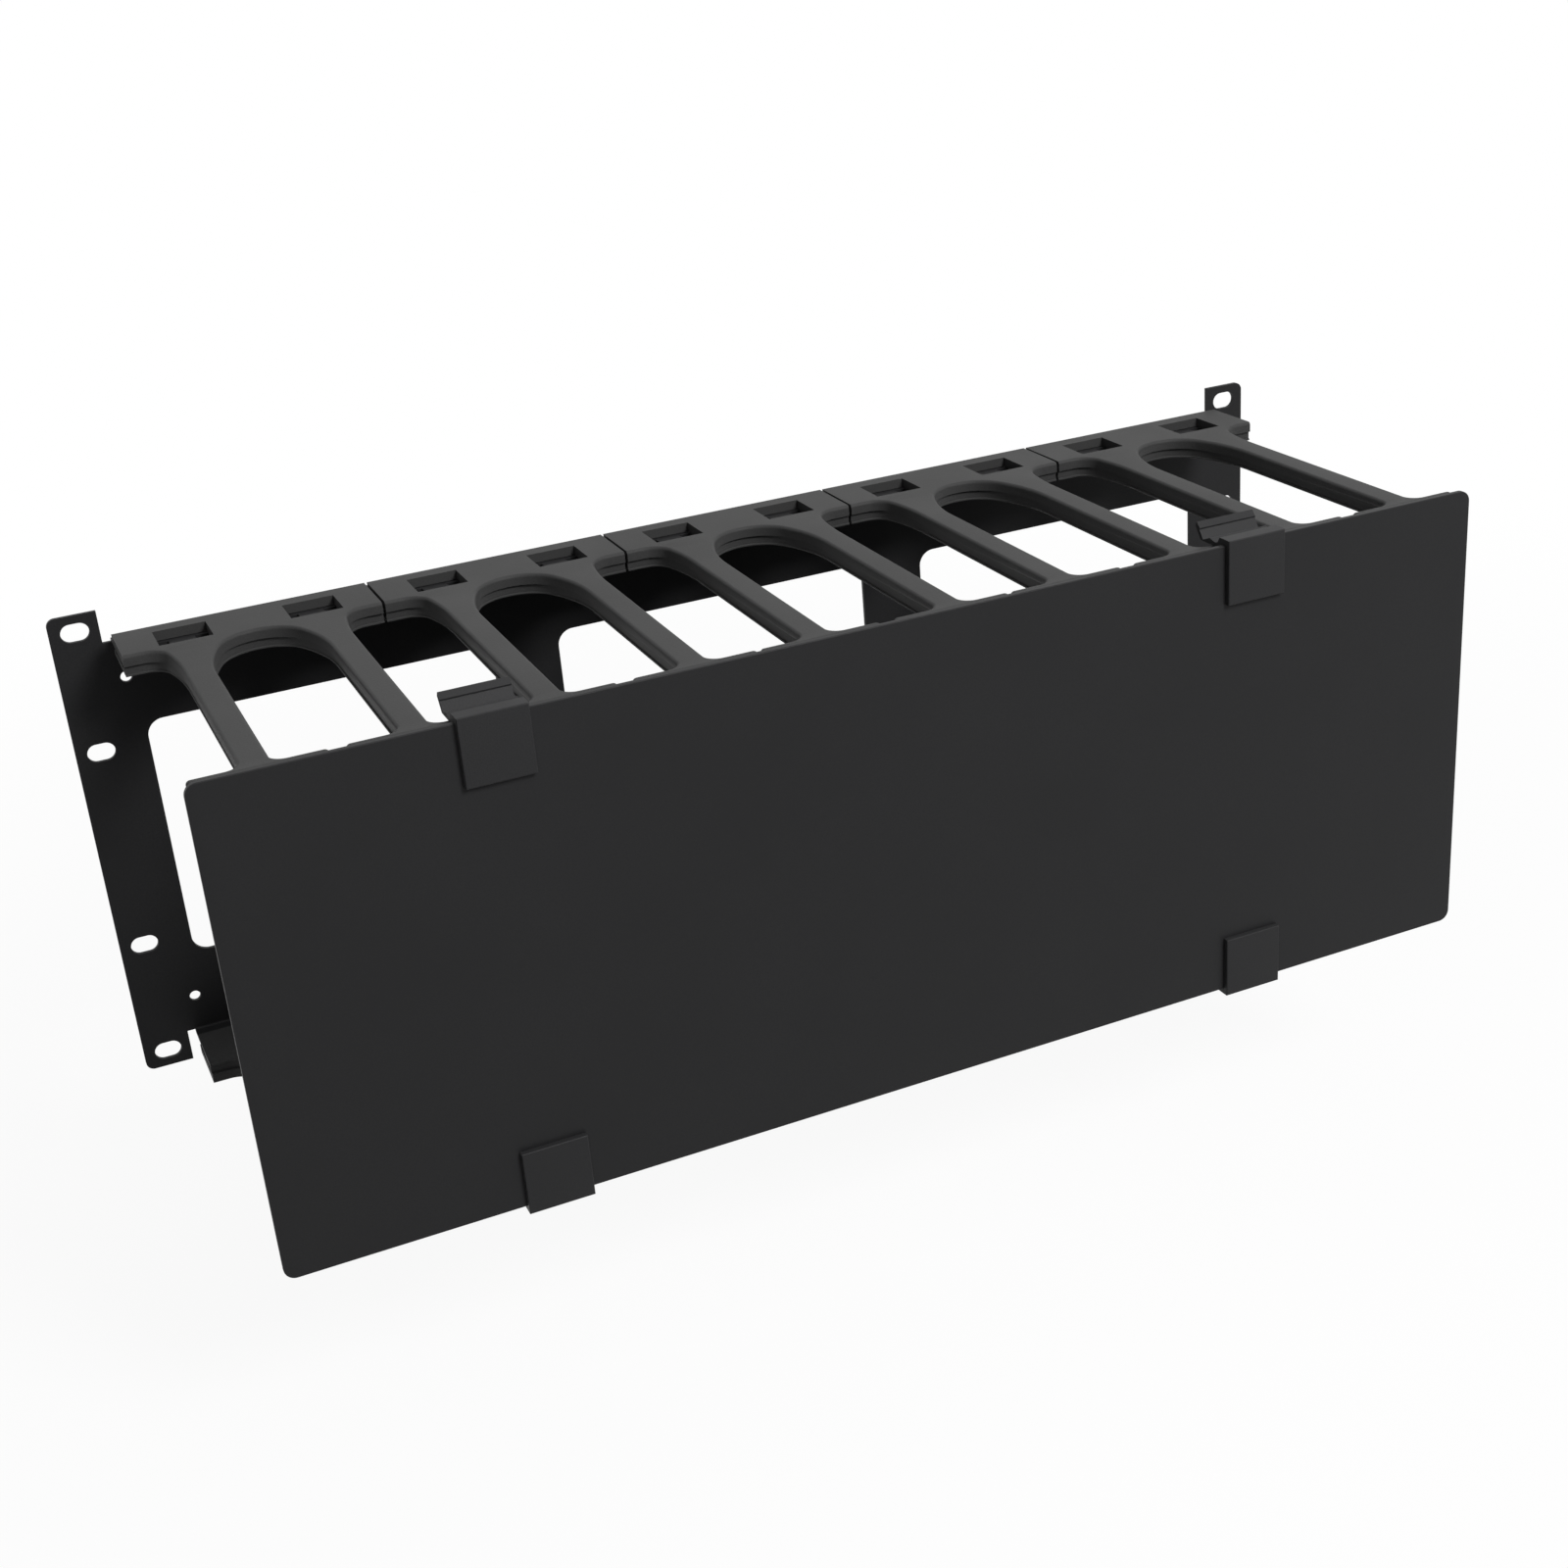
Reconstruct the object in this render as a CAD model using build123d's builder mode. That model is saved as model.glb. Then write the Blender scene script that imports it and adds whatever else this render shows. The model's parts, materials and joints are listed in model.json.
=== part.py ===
from build123d import *
from math import cos, radians, sin, sqrt
import os

# Horizontal cable manager for a 19 inch rack, four rack units high.
#
# A folded steel panel bolts to the rack's rails. Five moulded finger modules snap onto its top
# flange and five onto its bottom flange, and a flat cover is clipped to the T bars at their tips.
#
# Millimetres. X runs along the panel to the right, Y from the front to the rack, Z up. The origin
# is the centre of the panel's rear face, which lies on the rails, so the fingers reach to minus Y.

os.makedirs("parts", exist_ok=True)

# Rack sizes
rack_unit = 44.45
units_high = 4
height_allowance = 0.3
slot_edge_x = 8.75
slot_edge_z = 6.35
slot_length = 9.7
slot_width = 6.6

# Folded sheet panel
sheet = 1.5
bend_radius = 1.0
ear_corner_radius = 3.0
ear_width = 16.9
notch_width = 2.9
notch_depth = 1.7
flange_drop = 10.05
flange_depth = 33.5
cutout_margin = 5.6
cutout_height = 92.0
cutout_web = 25.4
cutout_count = 3
cutout_radius = 6.0
small_hole_edge_x = 2.5
small_hole_edge_z = 15.2
small_hole_diameter = 4.0

# Spring tongues of the flanges, two to a module
tongue_width = 8.9
tongue_setback = 1.6
tongue_rise = 1.7

# Finger modules
modules_in_row = 5
module_pitch = 88.9
module_gap = 1.0
row_overhang = 0.25
skin_gap = 0.3
skin_thickness = 3.4
module_rear_y = -10.4
module_thickness = 7.6
moulded_radius = 1.2
brow_height = 3.9
band_inset = 1.0
bead_inset = 0.5
bead_height = 0.8
bead_radius = 0.3
nose_y = -36.0
finger_offset = 23.6
finger_half_width = 4.7
arch_small_radius = 15.0
arch_large_radius = 60.0
end_corner_x = 38.0
end_corner_radius = 8.0
end_side_radius = 100.0
window_width = 18.1
window_rear_y = -17.0
window_depth = 15.8

# T bars at the fingertips
bar_diameter = 3.0
bar_axis_y = -156.4
bar_tip_gap = 4.9
flare_radius = 4.5
stem_front_y = -157.4

# Front cover
cover_side_lap = 2.0
cover_edge_lap = 2.1
cover_thickness = 1.8
cover_stand_off = 4.67
cover_corner_radius = 4.0
cover_edge_radius = 0.4

# Cover clips
clip_width = 22.4
clip_plate_thickness = 2.05
clip_plate_height = 22.75
clip_shelf_thickness = 2.0
clip_fit = 0.05
clip_jaw_thickness = 1.7
clip_jaw_length = 9.0
clip_hook_gap = 0.4
clip_hook_wall = 1.3
clip_valley = 1.8
clip_hump_rise = 0.8
clip_tab_reach = 5.4
clip_tab_rise = 5.4
clip_tab_lean = 3.6
clip_tab_lip = 0.4
clip_tab_lip_start = 0.55
clip_tab_thickness = 1.5
clip_edge_radius = 0.5
beak_angle = 62.0

# What follows from them
module_width = module_pitch - module_gap
module_half_width = module_width / 2
row_half_width = (modules_in_row * module_pitch - module_gap) / 2
body_half_width = row_half_width - row_overhang
ear_inner_x = body_half_width + notch_width
panel_width = 2 * (ear_inner_x + ear_width)
panel_height = units_high * rack_unit - height_allowance
flange_face_z = panel_height / 2 - flange_drop
notch_bottom_z = flange_face_z - notch_depth
slot_centre_x = panel_width / 2 - slot_edge_x
outer_slot_z = units_high * rack_unit / 2 - slot_edge_z
inner_slot_z = outer_slot_z - rack_unit
small_hole_x = body_half_width - small_hole_edge_x
small_hole_z = flange_face_z - small_hole_edge_z
cutout_row_width = 2 * (body_half_width - cutout_margin)
cutout_pitch = (cutout_row_width + cutout_web) / cutout_count
cutout_width = cutout_pitch - cutout_web
module_top_z = flange_face_z + skin_gap + skin_thickness
module_bottom_z = module_top_z - module_thickness
flange_slot_low_z = flange_face_z - sheet - skin_gap
flange_slot_high_z = flange_face_z + skin_gap
flange_front_y = -flange_depth
flange_slot_front_y = flange_front_y - skin_gap
window_centre_y = window_rear_y - window_depth / 2
tongue_pitch = module_pitch / 2
tongue_root_y = window_rear_y - tongue_setback
tongue_front_y = window_rear_y - window_depth + skin_gap
bar_radius = bar_diameter / 2
bar_axis_z = module_top_z - bar_radius
bar_rear_y = bar_axis_y + bar_radius
bar_front_y = bar_axis_y - bar_radius
flare_start_y = bar_rear_y + flare_radius
bar_inner_x = bar_tip_gap / 2
bar_outer_x = module_half_width
cover_rear_y = bar_front_y - cover_stand_off
cover_front_y = cover_rear_y - cover_thickness
cover_width = 2 * (body_half_width + cover_side_lap)
cover_top_z = module_top_z + cover_edge_lap
cover_height = 2 * cover_top_z
clip_centre_x = module_pitch * (modules_in_row - 2) / 2
hook_inner_radius = bar_radius + clip_hook_gap
hook_outer_radius = hook_inner_radius + clip_hook_wall
module_centres = [(index - (modules_in_row - 1) / 2) * module_pitch for index in range(modules_in_row)]
tongue_centres = [centre + side * tongue_pitch / 2 for centre in module_centres for side in (-1, 1)]
fit_tolerance = 0.001


def save(part, name):
    """Label a finished piece and write it."""
    part.label = name
    export_step(part, f"parts/{name}.step")
    print(name, round(part.volume, 1), len(part.faces()))


def arc_middle(centre, start, end):
    """Return the middle of the shorter arc from start to end about centre."""
    radius = (start - centre).length
    return centre + ((start - centre) + (end - centre)).normalized() * radius


def module_outline(inset, tip_y):
    """Draw a module's plan, drawn in by inset: back strip, arches and two straight fingers."""
    half_width = finger_half_width - inset
    front_y = nose_y + inset
    arch_half_width = finger_offset - half_width
    outer_side = finger_offset + half_width
    # In the module's middle the arch is a small circle that runs into two large ones.
    small_centre = Vector(0, front_y - arch_small_radius)
    large_x = arch_half_width - arch_large_radius
    drop = sqrt((arch_large_radius - arch_small_radius) ** 2 - large_x ** 2)
    large_centre = Vector(large_x, small_centre.Y - drop)
    touch = large_centre + (small_centre - large_centre).normalized() * arch_large_radius
    foot = Vector(arch_half_width, large_centre.Y)
    apex = Vector(0, front_y)
    # At the module's ends half an arch starts with a small corner.
    corner_centre = Vector(end_corner_x, front_y - end_corner_radius)
    side_x = outer_side + end_side_radius
    end_drop = sqrt((end_side_radius - end_corner_radius) ** 2 - (side_x - end_corner_x) ** 2)
    side_centre = Vector(side_x, corner_centre.Y - end_drop)
    end_touch = side_centre + (corner_centre - side_centre).normalized() * end_side_radius
    corner = Vector(end_corner_x, front_y)
    end_foot = Vector(outer_side, side_centre.Y)
    with BuildSketch() as plan:
        with BuildLine():
            Polyline(
                (0, module_rear_y),
                (module_half_width, module_rear_y),
                (module_half_width, front_y),
                (end_corner_x, front_y),
            )
            ThreePointArc(corner, arc_middle(corner_centre, corner, end_touch), end_touch)
            ThreePointArc(end_touch, arc_middle(side_centre, end_touch, end_foot), end_foot)
            Polyline(end_foot, (outer_side, tip_y), (arch_half_width, tip_y), foot)
            ThreePointArc(foot, arc_middle(large_centre, foot, touch), touch)
            ThreePointArc(touch, arc_middle(small_centre, touch, apex), apex)
            mirror(about=Plane.YZ)
        make_face()
    return plan.sketch


def moulded_edges(face, tip_y):
    """Pick the edges of a face that the mould rounds: not its back, its ends or the tips."""
    return face.edges().filter_by(
        lambda edge: edge.center().Y < module_rear_y - fit_tolerance
        and abs(edge.center().X) < module_half_width - fit_tolerance
        and edge.center().Y > tip_y + fit_tolerance
    )


def flare_outline():
    """Draw the web that widens a finger into its T bar."""
    side_x = finger_offset + finger_half_width
    bar_x = side_x + flare_radius
    with BuildSketch() as web:
        with BuildLine():
            Line((finger_offset, flare_start_y), (side_x, flare_start_y))
            RadiusArc((side_x, flare_start_y), (bar_x, bar_rear_y), -flare_radius)
            Polyline((bar_x, bar_rear_y), (bar_x, bar_axis_y), (finger_offset, bar_axis_y))
            mirror(about=Plane.YZ.offset(finger_offset))
        make_face()
    return web.sketch


# Rear panel
with BuildPart() as rear_panel:
    # The channel: a flat web with a flange folded forwards along its top and its bottom.
    with BuildSketch(Plane.YZ.offset(-body_half_width)):
        with BuildLine():
            FilletPolyline(
                (flange_front_y, flange_face_z - sheet),
                (-sheet, flange_face_z - sheet),
                (-sheet, sheet - flange_face_z),
                (flange_front_y, sheet - flange_face_z),
                radius=bend_radius,
            )
            FilletPolyline(
                (flange_front_y, -flange_face_z),
                (0, -flange_face_z),
                (0, flange_face_z),
                (flange_front_y, flange_face_z),
                radius=bend_radius + sheet,
            )
            Line((flange_front_y, flange_face_z - sheet), (flange_front_y, flange_face_z))
            Line((flange_front_y, sheet - flange_face_z), (flange_front_y, -flange_face_z))
        make_face()
    extrude(amount=2 * body_half_width)
    # The ears stand up past the fold, with a relief notch beside each of its ends.
    with BuildSketch(Plane.XZ) as ear_sketch:
        Rectangle(panel_width, panel_height)
        fillet(ear_sketch.vertices(), ear_corner_radius)
        Rectangle(2 * ear_inner_x, panel_height, mode=Mode.SUBTRACT)
        Rectangle(2 * ear_inner_x, 2 * notch_bottom_z)
        Rectangle(2 * (body_half_width - sheet), panel_height, mode=Mode.SUBTRACT)
    extrude(amount=sheet)
    # Cable cut-outs, rack slots and the four small holes
    with BuildSketch(Plane.XZ):
        with GridLocations(cutout_pitch, 0, cutout_count, 1):
            RectangleRounded(cutout_width, cutout_height, cutout_radius)
        with GridLocations(2 * slot_centre_x, 2 * outer_slot_z, 2, 2):
            SlotOverall(slot_length, slot_width)
        with GridLocations(2 * slot_centre_x, 2 * inner_slot_z, 2, 2):
            SlotOverall(slot_length, slot_width)
        with GridLocations(2 * small_hole_x, 2 * small_hole_z, 2, 2):
            Circle(small_hole_diameter / 2)
    extrude(amount=2 * sheet, both=True, mode=Mode.SUBTRACT)
    # Each tongue stands in a notch of its flange and rises to the window of its module.
    comb_length = flange_depth + tongue_root_y
    with BuildSketch(Plane.XY.offset(-panel_height)):
        with Locations((0, tongue_root_y - comb_length / 2)):
            with GridLocations(tongue_pitch, 0, 2 * modules_in_row, 1):
                Rectangle(window_width, comb_length)
    extrude(amount=2 * panel_height, mode=Mode.SUBTRACT)
    for centre_x in tongue_centres:
        with BuildSketch(Plane.YZ.offset(centre_x)):
            for side in (1, -1):
                with BuildLine():
                    Polyline(
                        (tongue_root_y, side * flange_face_z),
                        (tongue_root_y, side * (flange_face_z - sheet)),
                        (tongue_front_y, side * (flange_face_z - sheet + tongue_rise)),
                        (tongue_front_y, side * (flange_face_z + tongue_rise)),
                        close=True,
                    )
                make_face()
        extrude(amount=tongue_width / 2, both=True)
save(rear_panel.part, "rear_panel")

# One finger module, in the upper row's place
brow_plan = module_outline(0, bar_axis_y)
band_plan = module_outline(band_inset, stem_front_y)
bead_plan = module_outline(bead_inset, stem_front_y)
with BuildPart() as brow:
    # The upper half, whose top edge is rounded all along the fingers and arches
    with BuildSketch(Plane.XY.offset(module_top_z)):
        add(brow_plan)
    extrude(amount=-brow_height)
    fillet(moulded_edges(brow.faces().sort_by(Axis.Z)[-1], bar_axis_y), moulded_radius)
with BuildPart() as bead:
    # The bead that runs along the bottom edge
    with BuildSketch(Plane.XY.offset(module_bottom_z)):
        add(bead_plan)
    extrude(amount=bead_height)
    for face in (bead.faces().sort_by(Axis.Z)[-1], bead.faces().sort_by(Axis.Z)[0]):
        fillet(moulded_edges(face, stem_front_y), bead_radius)
with BuildPart() as bar:
    # A T bar with the flare of its finger
    with BuildSketch(Plane.XY.offset(module_top_z)):
        with Locations(((bar_inner_x + bar_outer_x) / 2, bar_axis_y)):
            SlotOverall(bar_outer_x - bar_inner_x, bar_diameter)
        add(flare_outline())
    extrude(amount=-bar_diameter)
    for face in (bar.faces().sort_by(Axis.Z)[-1], bar.faces().sort_by(Axis.Z)[0]):
        fillet(
            face.edges().filter_by(lambda edge: edge.center().Y < flare_start_y - fit_tolerance),
            moulded_radius,
        )
with BuildPart() as module:
    add(brow.part)
    # The band between the brow and the bead lies a little back from both.
    with BuildSketch(Plane.XY.offset(module_bottom_z)):
        add(band_plan)
    extrude(amount=module_thickness - brow_height)
    add(bead.part)
    add(bar.part)
    add(bar.part.mirror(Plane.YZ))
    # The slot that slides onto the flange, open at the back and the ends
    slot_centre = ((module_rear_y + flange_slot_front_y) / 2, (flange_slot_low_z + flange_slot_high_z) / 2)
    with BuildSketch(Plane.YZ.offset(-module_half_width)):
        with Locations(slot_centre):
            Rectangle(module_rear_y - flange_slot_front_y, flange_slot_high_z - flange_slot_low_z)
    extrude(amount=module_width, mode=Mode.SUBTRACT)
    # The windows that the tongues snap into
    with BuildSketch(Plane.XY.offset(module_top_z)):
        with Locations((0, window_centre_y)):
            with GridLocations(tongue_pitch, 0, 2, 1):
                Rectangle(window_width, window_depth)
    extrude(amount=-skin_thickness, mode=Mode.SUBTRACT)

for number, centre_x in enumerate(module_centres, start=1):
    with BuildPart() as upper_module:
        add(module.part.moved(Location((centre_x, 0, 0))))
    save(upper_module.part, f"upper_finger_module_{number}")
    with BuildPart() as lower_module:
        add(module.part.moved(Location((centre_x, 0, 0))).mirror(Plane.XY))
    save(lower_module.part, f"lower_finger_module_{number}")

# Front cover
with BuildPart() as front_cover:
    with BuildSketch(Plane.XZ.offset(-cover_rear_y)):
        RectangleRounded(cover_width, cover_height, cover_corner_radius)
    extrude(amount=cover_thickness)
    fillet(front_cover.faces().sort_by(Axis.Y)[0].edges(), cover_edge_radius)
save(front_cover.part, "front_cover")


def clip_profile():
    """Draw an upper clip from its side: front plate, shelf, jaw, hook and thumb tab."""
    plate_rear_y = cover_front_y - clip_fit
    plate_front_y = plate_rear_y - clip_plate_thickness
    jaw_front_y = cover_rear_y + clip_fit
    jaw_rear_y = jaw_front_y + clip_jaw_thickness
    jaw_end_z = cover_top_z - clip_jaw_length
    shelf_low_z = cover_top_z + clip_fit
    shelf_top_z = shelf_low_z + clip_shelf_thickness
    plate_end_z = shelf_top_z - clip_plate_height
    hook_low_z = bar_axis_z - hook_inner_radius
    hook_front_y = bar_axis_y - hook_inner_radius
    hook_under_z = bar_axis_z + hook_inner_radius
    valley_z = bar_axis_z + hook_outer_radius
    tab_root_y = bar_axis_y + clip_tab_reach
    tab_root_z = hook_under_z + clip_edge_radius
    tab_slope = Vector(clip_tab_lean, clip_tab_rise).normalized()
    tab_out = Vector(-tab_slope.Y, tab_slope.X)
    tab_length = sqrt(clip_tab_lean ** 2 + clip_tab_rise ** 2)
    tab_root = Vector(tab_root_y, tab_root_z)
    lip_foot = tab_root + tab_slope * (tab_length * clip_tab_lip_start)
    lip_front = lip_foot + tab_slope * clip_tab_lip + tab_out * clip_tab_lip
    tab_top = tab_root + tab_slope * tab_length
    tab_back = tab_top - tab_out * clip_tab_thickness - tab_slope * clip_tab_thickness / 2
    with BuildSketch() as profile:
        with BuildLine():
            Polyline(
                (hook_front_y, bar_axis_z),
                (hook_front_y, hook_low_z),
                (jaw_rear_y, hook_low_z - clip_edge_radius),
                (jaw_rear_y, jaw_end_z),
                (jaw_front_y, jaw_end_z),
                (jaw_front_y, shelf_low_z),
                (plate_rear_y, shelf_low_z),
                (plate_rear_y, plate_end_z),
                (plate_front_y, plate_end_z),
                (plate_front_y, shelf_top_z),
                (jaw_rear_y, shelf_top_z),
                (hook_front_y - clip_hook_wall, valley_z + clip_edge_radius),
                (bar_axis_y - clip_valley, valley_z),
                (bar_axis_y + clip_hook_wall, valley_z + clip_hump_rise),
                tab_root,
                lip_foot,
                lip_front,
                tab_top,
                tab_back,
                (tab_root_y + clip_hook_wall, hook_under_z),
                (bar_axis_y, hook_under_z),
            )
            RadiusArc((bar_axis_y, hook_under_z), (hook_front_y, bar_axis_z), -hook_inner_radius)
        make_face()
    return profile.sketch


def beak_profile():
    """Draw the beak that closes a hinge clip's hook behind the T bar."""
    reach = 2 * hook_outer_radius
    far_y = bar_axis_y + reach * sin(radians(beak_angle))
    far_z = bar_axis_z + reach * cos(radians(beak_angle))
    with BuildSketch() as profile:
        with Locations((bar_axis_y, bar_axis_z)):
            Circle(hook_outer_radius)
            Circle(hook_inner_radius, mode=Mode.SUBTRACT)
        with BuildLine():
            Polyline(
                (bar_axis_y, bar_axis_z),
                (bar_axis_y, bar_axis_z + reach),
                (far_y, far_z),
                close=True,
            )
        make_face(mode=Mode.INTERSECT)
    return profile.sketch


# Cover clips, the upper pair first and then the lower pair, which are the cover's hinges
clip_side_profile = clip_profile()
clip_beak_profile = beak_profile()
for side, centre_x in (("left", -clip_centre_x), ("right", clip_centre_x)):
    with BuildPart() as upper_clip:
        with BuildSketch(Plane.YZ.offset(centre_x - clip_width / 2)):
            add(clip_side_profile)
        extrude(amount=clip_width)
        fillet(upper_clip.faces().sort_by(Axis.Y)[0].edges(), clip_edge_radius)
    save(upper_clip.part, f"upper_{side}_clip")
    with BuildPart() as lower_clip:
        add(upper_clip.part)
        with BuildSketch(Plane.YZ.offset(centre_x - clip_width / 2)):
            add(clip_beak_profile)
        extrude(amount=clip_width)
        mirror(about=Plane.XY, mode=Mode.REPLACE)
    save(lower_clip.part, f"lower_{side}_clip")
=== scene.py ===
"""Looks of a four unit horizontal cable manager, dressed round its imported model.

The frame holds the folded panel, the finger modules, the cover and its clips. This script shades
their curves smooth, gives them their finishes, and adds the studio and the photograph's camera.
"""

import json
import logging
import math
from dataclasses import dataclass, field
from enum import Enum

import bmesh
import bpy
from mathutils import Matrix, Vector


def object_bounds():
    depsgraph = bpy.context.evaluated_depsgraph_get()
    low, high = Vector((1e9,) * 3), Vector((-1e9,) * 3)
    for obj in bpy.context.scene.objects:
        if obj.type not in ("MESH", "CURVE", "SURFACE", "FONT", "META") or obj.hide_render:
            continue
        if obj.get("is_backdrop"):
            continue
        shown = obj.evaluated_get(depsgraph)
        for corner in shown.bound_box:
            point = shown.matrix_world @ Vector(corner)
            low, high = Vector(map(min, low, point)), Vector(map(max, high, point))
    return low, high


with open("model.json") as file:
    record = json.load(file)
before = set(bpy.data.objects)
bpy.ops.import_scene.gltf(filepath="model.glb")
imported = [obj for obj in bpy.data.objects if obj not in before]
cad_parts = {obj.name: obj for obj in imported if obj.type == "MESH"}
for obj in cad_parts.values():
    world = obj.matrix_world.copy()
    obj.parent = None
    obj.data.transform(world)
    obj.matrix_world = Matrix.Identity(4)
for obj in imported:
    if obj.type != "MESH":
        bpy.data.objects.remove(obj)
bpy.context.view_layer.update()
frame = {"nodes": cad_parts, "record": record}

MM = 0.001
LOG = logging.getLogger("cable_manager")


def linear(colour: str) -> tuple[float, float, float, float]:
    """Turn an sRGB hex colour into the linear colour that a shader takes.

    Args:
        colour: Six hex digits, with or without a leading hash.

    Returns:
        Linear red, green and blue, and an alpha of 1.
    """
    digits = colour.lstrip("#")
    channels = [int(digits[i:i + 2], 16) / 255 for i in (0, 2, 4)]
    red, green, blue = (c / 12.92 if c <= 0.04045 else ((c + 0.055) / 1.055) ** 2.4 for c in channels)
    return red, green, blue, 1.0


def add_node(tree: bpy.types.NodeTree, kind: str, links: dict | None = None, **settings) -> bpy.types.Node:
    """Add one node to a tree, with its settings, socket values and links.

    Args:
        tree: The node tree that gets the node.
        kind: The node's type name, such as "ShaderNodeBump".
        links: Input socket name or number to a value or to another node's output socket.
        settings: Attributes of the node itself, such as a Math node's operation.

    Returns:
        The new node.
    """
    node = tree.nodes.new(kind)
    for name, value in settings.items():
        setattr(node, name, value)
    for name, value in (links or {}).items():
        if isinstance(value, bpy.types.NodeSocket):
            tree.links.new(value, node.inputs[name])
        else:
            node.inputs[name].default_value = value
    return node


def new_shader(name: str) -> tuple[bpy.types.Material, bpy.types.NodeTree]:
    """Make an empty node material and return it with its tree."""
    material = bpy.data.materials.new(name)
    material.use_nodes = True
    material.node_tree.nodes.clear()
    return material, material.node_tree


class Grain(Enum):
    """How a surface was made, which sets the form of its fine relief."""

    ORANGE_PEEL = "orange peel"
    SPARK_ERODED = "spark eroded"
    ROLLED = "rolled"


@dataclass(frozen=True)
class Finish:
    """One dielectric finish, with a fine relief and slow changes of tone.

    The specular level is low, because mirror rays see the white background on every side.
    """

    name: str
    colour: str
    shade: str
    roughness: float
    gloss_swing: float
    grain: Grain
    grain_mm: float
    relief_mm: float
    ior: float = 1.46
    specular: float = 0.15
    patch_mm: float = 45.0
    shade_until: float = 0.15
    colour_from: float = 0.42
    gloss_low: float = 0.3
    gloss_high: float = 0.7
    noise_roughness: float = 0.45

    def relief(self, tree: bpy.types.NodeTree, place: bpy.types.NodeSocket) -> bpy.types.NodeSocket:
        """Return the height of the fine relief for this finish's grain.

        Args:
            tree: The material's node tree.
            place: Object coordinates.

        Returns:
            The output socket that holds the height, from 0 to 1.
        """
        per_metre = 1.0 / (self.grain_mm * MM)
        if self.grain is Grain.SPARK_ERODED:
            cells = add_node(
                tree, "ShaderNodeTexVoronoi", {"Vector": place, "Scale": per_metre, "Randomness": 1.0},
                feature="SMOOTH_F1",
            )
            return cells.outputs["Distance"]
        detail = 2.0 if self.grain is Grain.ORANGE_PEEL else 4.0
        noise = add_node(
            tree, "ShaderNodeTexNoise",
            {"Vector": place, "Scale": per_metre, "Detail": detail, "Roughness": self.noise_roughness},
        )
        return noise.outputs["Fac"]

    def build(self) -> bpy.types.Material:
        """Build the material.

        Returns:
            A material whose colour, gloss and relief come from nodes on Object coordinates.
        """
        material, tree = new_shader(self.name)
        place = add_node(tree, "ShaderNodeTexCoord").outputs["Object"]
        slow = add_node(
            tree, "ShaderNodeTexNoise", {"Vector": place, "Scale": 1 / (self.patch_mm * MM), "Detail": 3.0}
        ).outputs["Fac"]
        speckle = add_node(
            tree, "ShaderNodeTexNoise", {"Vector": place, "Scale": 1 / (self.grain_mm * MM), "Detail": 1.0}
        ).outputs["Fac"]
        blend = add_node(
            tree, "ShaderNodeMath", {0: slow, 1: speckle}, operation="MULTIPLY"
        ).outputs[0]
        tone = add_node(tree, "ShaderNodeValToRGB", {"Fac": blend})
        tone.color_ramp.elements[0].position = self.shade_until
        tone.color_ramp.elements[0].color = linear(self.shade)
        tone.color_ramp.elements[1].position = self.colour_from
        tone.color_ramp.elements[1].color = linear(self.colour)
        gloss = add_node(
            tree, "ShaderNodeMapRange",
            {
                "Value": slow,
                "From Min": self.gloss_low,
                "From Max": self.gloss_high,
                "To Min": self.roughness - self.gloss_swing,
                "To Max": self.roughness + self.gloss_swing,
            },
        ).outputs[0]
        bump = add_node(
            tree, "ShaderNodeBump",
            {"Height": self.relief(tree, place), "Strength": 1.0, "Distance": self.relief_mm * MM},
        )
        surface = add_node(
            tree, "ShaderNodeBsdfPrincipled",
            {
                "Base Color": tone.outputs["Color"],
                "Roughness": gloss,
                "IOR": self.ior,
                "Specular IOR Level": self.specular,
                "Normal": bump.outputs["Normal"],
            },
        )
        add_node(tree, "ShaderNodeOutputMaterial", {"Surface": surface.outputs["BSDF"]})
        return material


# Black powder coat on steel sheet: near black, satin, with a fine orange peel left by the flow of the melt.
POWDER_COAT = Finish(
    name="black_powder_coat", colour="#2D2D2E", shade="#282829", roughness=0.5, gloss_swing=0.05,
    grain=Grain.ORANGE_PEEL, grain_mm=0.7, relief_mm=0.012,
)
# Dark grey moulded plastic: spark eroded mould texture, matt, a little paler than the steel.
MOULDED_PLASTIC = Finish(
    name="moulded_plastic", colour="#474747", shade="#414141", roughness=0.55, gloss_swing=0.05,
    grain=Grain.SPARK_ERODED, grain_mm=0.55, relief_mm=0.03,
)
# Extruded plastic sheet: flat and even with a satin roll finish.
SATIN_SHEET = Finish(
    name="satin_plastic_sheet", colour="#2D2D2E", shade="#2A2A2B", roughness=0.42, gloss_swing=0.04,
    grain=Grain.ROLLED, grain_mm=0.5, relief_mm=0.006,
)
# Moulded plastic of the clips: nearly as matt as the modules, but darker to the eye.
CLIP_PLASTIC = Finish(
    name="clip_plastic", colour="#353536", shade="#303031", roughness=0.5, gloss_swing=0.05,
    grain=Grain.SPARK_ERODED, grain_mm=0.5, relief_mm=0.02,
)


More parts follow.
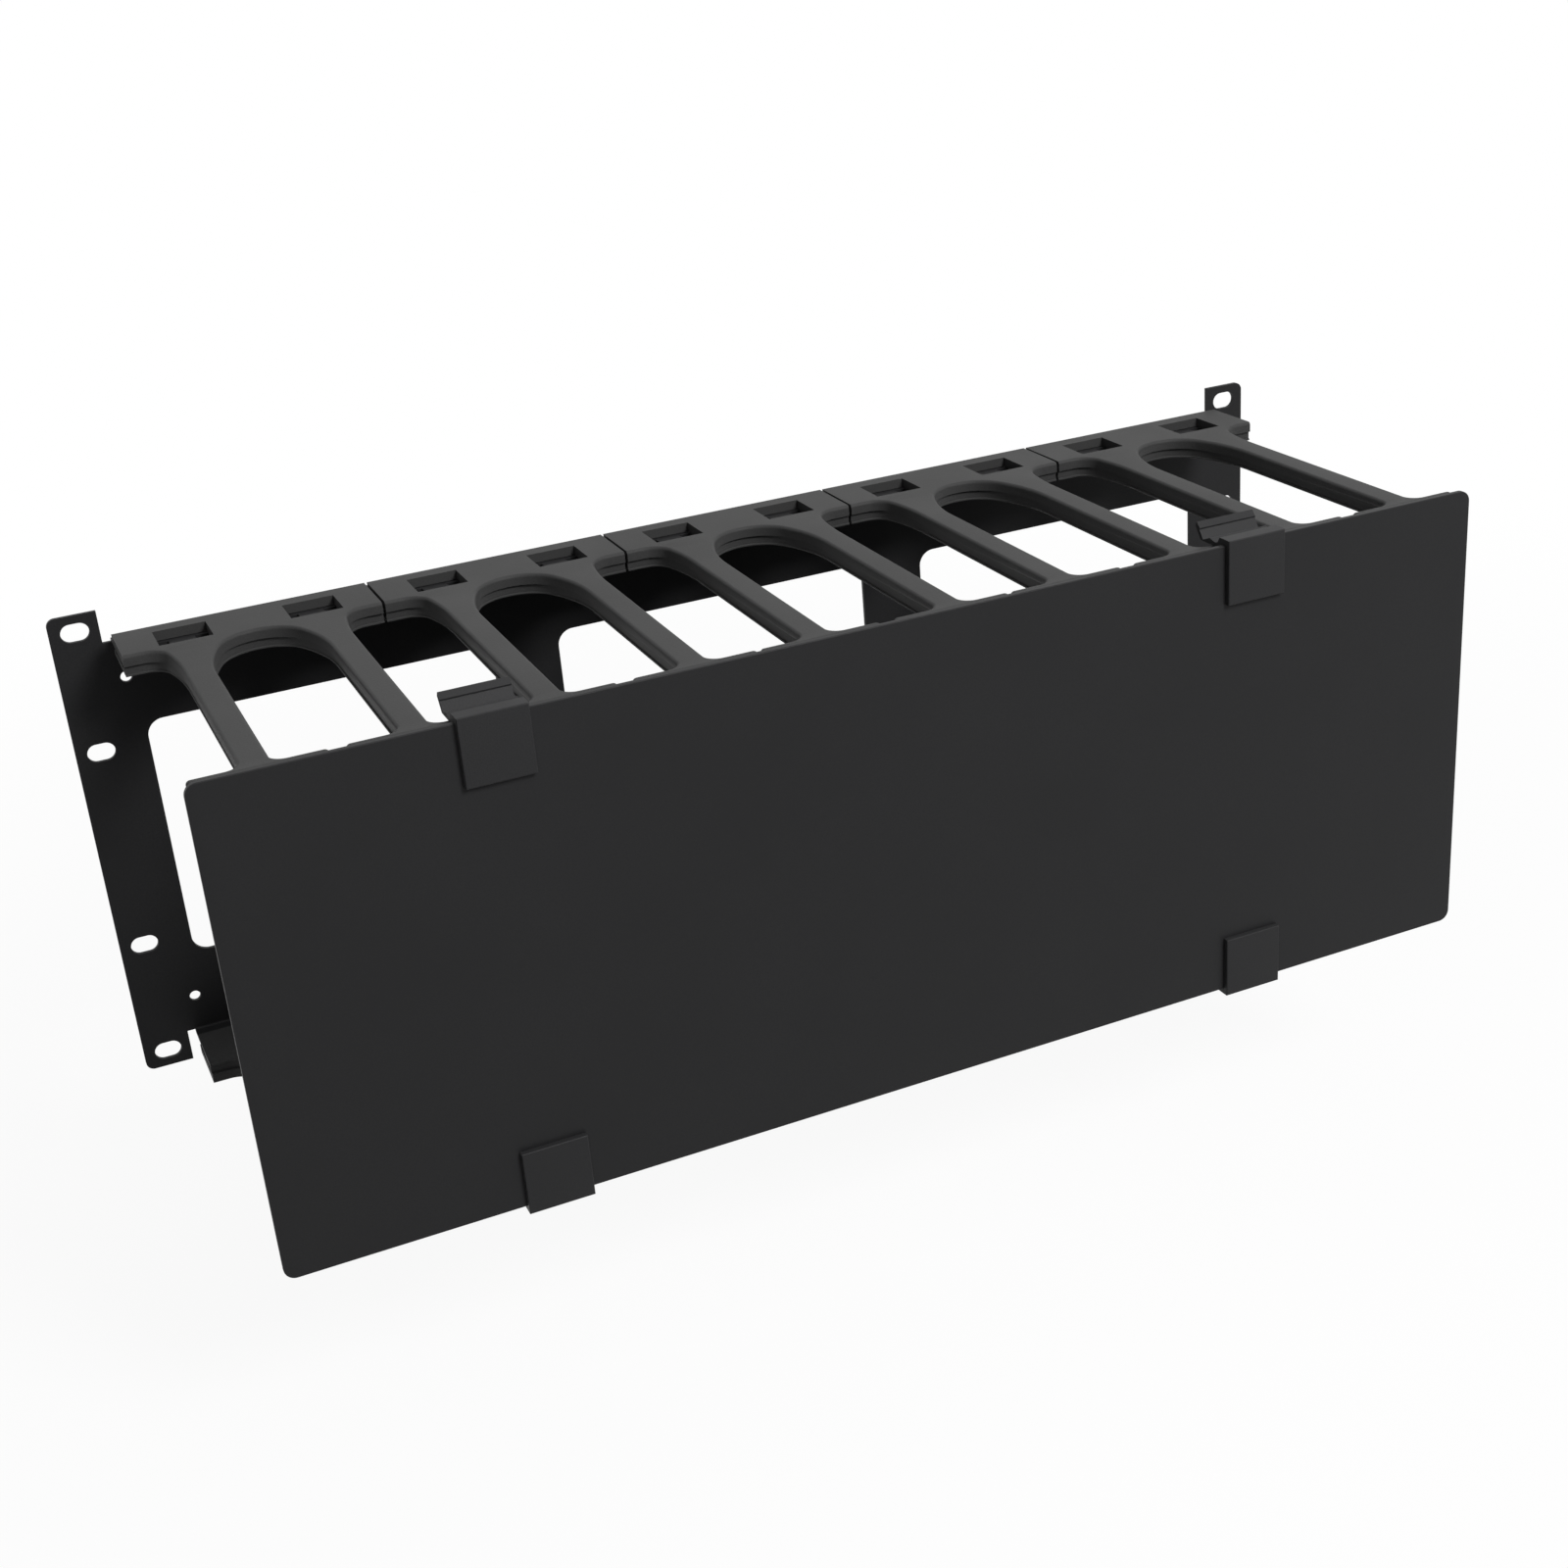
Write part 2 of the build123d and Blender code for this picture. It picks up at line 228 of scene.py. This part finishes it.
def smooth_curve_nodes() -> bpy.types.NodeTree:
    """Build the modifier tree that joins a CAD mesh's triangles and shades its curves smooth.

    Returns:
        A geometry node group with one geometry input and output.
    """
    sharp_angle = math.radians(32)
    weld_distance = 0.002 * MM
    tree = bpy.data.node_groups.new("smooth_curves", "GeometryNodeTree")
    tree.interface.new_socket("Geometry", in_out="INPUT", socket_type="NodeSocketGeometry")
    tree.interface.new_socket("Geometry", in_out="OUTPUT", socket_type="NodeSocketGeometry")
    source = add_node(tree, "NodeGroupInput").outputs[0]
    welded = add_node(
        tree, "GeometryNodeMergeByDistance", {"Geometry": source, "Distance": weld_distance}
    ).outputs[0]
    angle = add_node(tree, "GeometryNodeInputMeshEdgeAngle").outputs["Unsigned Angle"]
    smooth_edge = add_node(
        tree, "FunctionNodeCompare", {"A": angle, "B": sharp_angle}, operation="LESS_THAN", data_type="FLOAT"
    ).outputs[0]
    faces = add_node(
        tree, "GeometryNodeSetShadeSmooth", {"Geometry": welded, "Shade Smooth": True}, domain="FACE"
    ).outputs[0]
    edges = add_node(
        tree, "GeometryNodeSetShadeSmooth", {"Geometry": faces, "Shade Smooth": smooth_edge}, domain="EDGE"
    ).outputs[0]
    add_node(tree, "NodeGroupOutput", {0: edges})
    return tree


@dataclass
class CarriedNodes:
    """A group of CAD nodes that share one finish."""

    finish: Finish
    names: list[str]
    curve_tree: bpy.types.NodeTree

    def dress(self) -> None:
        """Give each node its finish and the modifier that shades its curves smooth."""
        material = self.finish.build()
        for name in self.names:
            node = frame["nodes"][name]
            node.data.materials.clear()
            node.data.materials.append(material)
            modifier = node.modifiers.new("smooth_curves", "NODES")
            modifier.node_group = self.curve_tree
            LOG.info("dressed %s in %s", name, self.finish.name)


@dataclass(frozen=True)
class SoftLamp:
    """One square soft lamp, and the point that it faces."""

    name: str
    place_mm: tuple[float, float, float]
    size_mm: float
    watts: float
    target_mm: tuple[float, float, float] = (0.0, -80.0, 0.0)

    def hang(self) -> None:
        """Make the lamp, hang it and turn it to its target."""
        data = bpy.data.lights.new(self.name, "AREA")
        data.size = self.size_mm * MM
        data.energy = self.watts
        lamp = bpy.data.objects.new(self.name, data)
        place = Vector(self.place_mm)
        lamp.location = place * MM
        lamp.rotation_euler = (Vector(self.target_mm) - place).to_track_quat("-Z", "Y").to_euler()
        bpy.context.scene.collection.objects.link(lamp)


# Overhead lights the modules' tops, the front lamp the cover, and the strip the left ear.
STUDIO_LAMPS = (
    SoftLamp("overhead_softbox", (300.0, 100.0, 1500.0), size_mm=1000.0, watts=2.5),
    SoftLamp("front_softbox", (450.0, -1230.0, 1090.0), size_mm=500.0, watts=17.0),
    SoftLamp("left_strip", (-1500.0, -85.0, -320.0), size_mm=400.0, watts=5.0, target_mm=(0.0, -85.0, 0.0)),
)


@dataclass
class Studio:
    """Plain white floor with soft light, most of it from overhead.

    The floor lies low enough for the cover to hang open over it.
    """

    floor_drop_mm: float = 68.0
    floor_size_mm: float = 9000.0
    floor_colour: str = "#FFFFFF"
    floor_bounce: str = "#8C8C8C"
    floor_glow: float = 0.93
    fade_start_mm: float = 260.0
    fade_end_mm: float = 900.0
    sky_dim: float = 0.03
    sky_bright: float = 0.7
    sky_focus: float = 4.0
    sky_brightest: Vector = field(default_factory=lambda: Vector((0.3, -0.3, 0.9)))

    @staticmethod
    def background_rays(tree: bpy.types.NodeTree) -> bpy.types.NodeSocket:
        """Return 1 for the rays that show the white background: from the camera, mirrors and glass.

        Args:
            tree: The node tree of the floor's paper or of the world.

        Returns:
            The output socket that holds 1 or 0.
        """
        path = add_node(tree, "ShaderNodeLightPath")
        mirrored = add_node(
            tree, "ShaderNodeMath",
            {0: path.outputs["Is Glossy Ray"], 1: path.outputs["Is Transmission Ray"]}, operation="MAXIMUM",
        ).outputs[0]
        return add_node(
            tree, "ShaderNodeMath", {0: path.outputs["Is Camera Ray"], 1: mirrored}, operation="MAXIMUM"
        ).outputs[0]

    def floor(self) -> None:
        """Lay the floor under the object, white to the camera and duller as light on the object."""
        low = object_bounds()[0]
        mesh = bmesh.new()
        bmesh.ops.create_grid(mesh, x_segments=1, y_segments=1, size=self.floor_size_mm * MM / 2)
        bmesh.ops.translate(mesh, verts=mesh.verts, vec=(0, 0, low.z - self.floor_drop_mm * MM))
        data = bpy.data.meshes.new("studio_floor")
        mesh.to_mesh(data)
        mesh.free()
        floor = bpy.data.objects.new("studio_floor", data)
        bpy.context.scene.collection.objects.link(floor)
        data.materials.append(self.floor_paper())
        floor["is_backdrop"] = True

    def floor_paper(self) -> bpy.types.Material:
        """Build the floor's paper: it takes the object's shadow nearby and fades to plain white far off.

        Returns:
            The floor's material.
        """
        material, tree = new_shader("studio_floor_paper")
        seen = self.background_rays(tree)
        place = add_node(tree, "ShaderNodeTexCoord").outputs["Object"]
        flat = add_node(
            tree, "ShaderNodeVectorMath", {0: place, 1: (1, 1, 0)}, operation="MULTIPLY"
        ).outputs["Vector"]
        distance = add_node(
            tree, "ShaderNodeVectorMath", {0: flat}, operation="LENGTH"
        ).outputs["Value"]
        far = add_node(
            tree, "ShaderNodeMapRange",
            {"Value": distance, "From Min": self.fade_start_mm * MM, "From Max": self.fade_end_mm * MM},
            interpolation_type="SMOOTHSTEP",
        ).outputs[0]
        dull = add_node(tree, "ShaderNodeBsdfDiffuse", {"Color": linear(self.floor_bounce)}).outputs[0]
        lit = add_node(tree, "ShaderNodeBsdfDiffuse", {"Color": linear(self.floor_colour)}).outputs[0]
        glow = add_node(tree, "ShaderNodeEmission", {"Color": (1, 1, 1, 1), "Strength": 1.0}).outputs[0]
        near = add_node(tree, "ShaderNodeMixShader", {0: self.floor_glow, 1: lit, 2: glow}).outputs[0]
        shown = add_node(tree, "ShaderNodeMixShader", {0: far, 1: near, 2: glow}).outputs[0]
        surface = add_node(tree, "ShaderNodeMixShader", {0: seen, 1: dull, 2: shown}).outputs[0]
        add_node(tree, "ShaderNodeOutputMaterial", {"Surface": surface})
        return material

    def sky(self) -> None:
        """Set the world: white as a background, and as light on the object a soft glow from overhead."""
        world = bpy.data.worlds.new("studio_sky")
        bpy.context.scene.world = world
        world.use_nodes = True
        tree = world.node_tree
        tree.nodes.clear()
        direction = add_node(tree, "ShaderNodeTexCoord").outputs["Generated"]
        towards = add_node(
            tree, "ShaderNodeVectorMath", {0: direction, 1: self.sky_brightest.normalized()},
            operation="DOT_PRODUCT",
        ).outputs["Value"]
        above = add_node(tree, "ShaderNodeMath", {0: towards, 1: 0.0}, operation="MAXIMUM").outputs[0]
        lobe = add_node(tree, "ShaderNodeMath", {0: above, 1: self.sky_focus}, operation="POWER").outputs[0]
        level = add_node(
            tree, "ShaderNodeMapRange",
            {
                "Value": lobe,
                "From Min": 0.0,
                "From Max": 1.0,
                "To Min": self.sky_dim,
                "To Max": self.sky_bright,
            },
        ).outputs[0]
        strength = add_node(
            tree, "ShaderNodeMix",
            {"Factor": self.background_rays(tree), "A": level, "B": 1.0}, data_type="FLOAT",
        )
        light = add_node(
            tree, "ShaderNodeBackground", {"Color": (1, 1, 1, 1), "Strength": strength.outputs["Result"]}
        )
        add_node(tree, "ShaderNodeOutputWorld", {"Surface": light.outputs["Background"]})

    def build(self) -> None:
        """Lay the floor, set the world and hang the lamps."""
        self.floor()
        self.sky()
        for lamp in STUDIO_LAMPS:
            lamp.hang()
        LOG.info("studio ready with %s", ", ".join(lamp.name for lamp in STUDIO_LAMPS))


@dataclass(frozen=True)
class PhotoCamera:
    """The photograph's camera, found from the panel's corners and slots."""

    place_mm: tuple[float, float, float] = (-277.95, -746.51, 318.6)
    azimuth_deg: float = 21.964
    tilt_deg: float = 23.977
    roll_deg: float = 4.922
    lens_mm: float = 50.0
    sensor_mm: float = 36.0
    nearest_mm: float = 10.0
    farthest_mm: float = 20000.0

    def build(self) -> bpy.types.Object:
        """Make the camera and the scene's choice of it.

        Returns:
            The camera's object.
        """
        azimuth, tilt, roll = (math.radians(a) for a in (self.azimuth_deg, self.tilt_deg, self.roll_deg))
        forward = Vector(
            (math.sin(azimuth) * math.cos(tilt), math.cos(azimuth) * math.cos(tilt), -math.sin(tilt))
        )
        level = Vector((math.cos(azimuth), -math.sin(azimuth), 0))
        right = level * math.cos(roll) - level.cross(forward) * math.sin(roll)
        up = right.cross(forward)
        data = bpy.data.cameras.new("photo_camera")
        data.lens = self.lens_mm
        data.sensor_width = self.sensor_mm
        data.clip_start = self.nearest_mm * MM
        data.clip_end = self.farthest_mm * MM
        camera = bpy.data.objects.new("photo_camera", data)
        turn = Matrix((right, up, -forward)).transposed().to_4x4()
        camera.matrix_world = Matrix.Translation(Vector(self.place_mm) * MM) @ turn
        bpy.context.scene.collection.objects.link(camera)
        bpy.context.scene.camera = camera
        return camera


def main() -> None:
    """Dress the frame, build the studio and the camera, and log the dressing and the studio."""
    logging.basicConfig(level=logging.INFO, format="%(message)s")
    bpy.context.scene.view_settings.view_transform = "Standard"
    curve_tree = smooth_curve_nodes()
    slots: dict[str, list[str]] = {}
    for part in frame["record"]["subparts"]:
        slots.setdefault(part["material_slot"], []).append(part["node"])
    finishes = {
        "panel_steel": POWDER_COAT,
        "finger_plastic": MOULDED_PLASTIC,
        "cover_plastic": SATIN_SHEET,
        "clip_plastic": CLIP_PLASTIC,
    }
    for slot_name, node_names in slots.items():
        CarriedNodes(finishes[slot_name], node_names, curve_tree).dress()
    Studio().build()
    PhotoCamera().build()


if __name__ == "__main__":
    main()
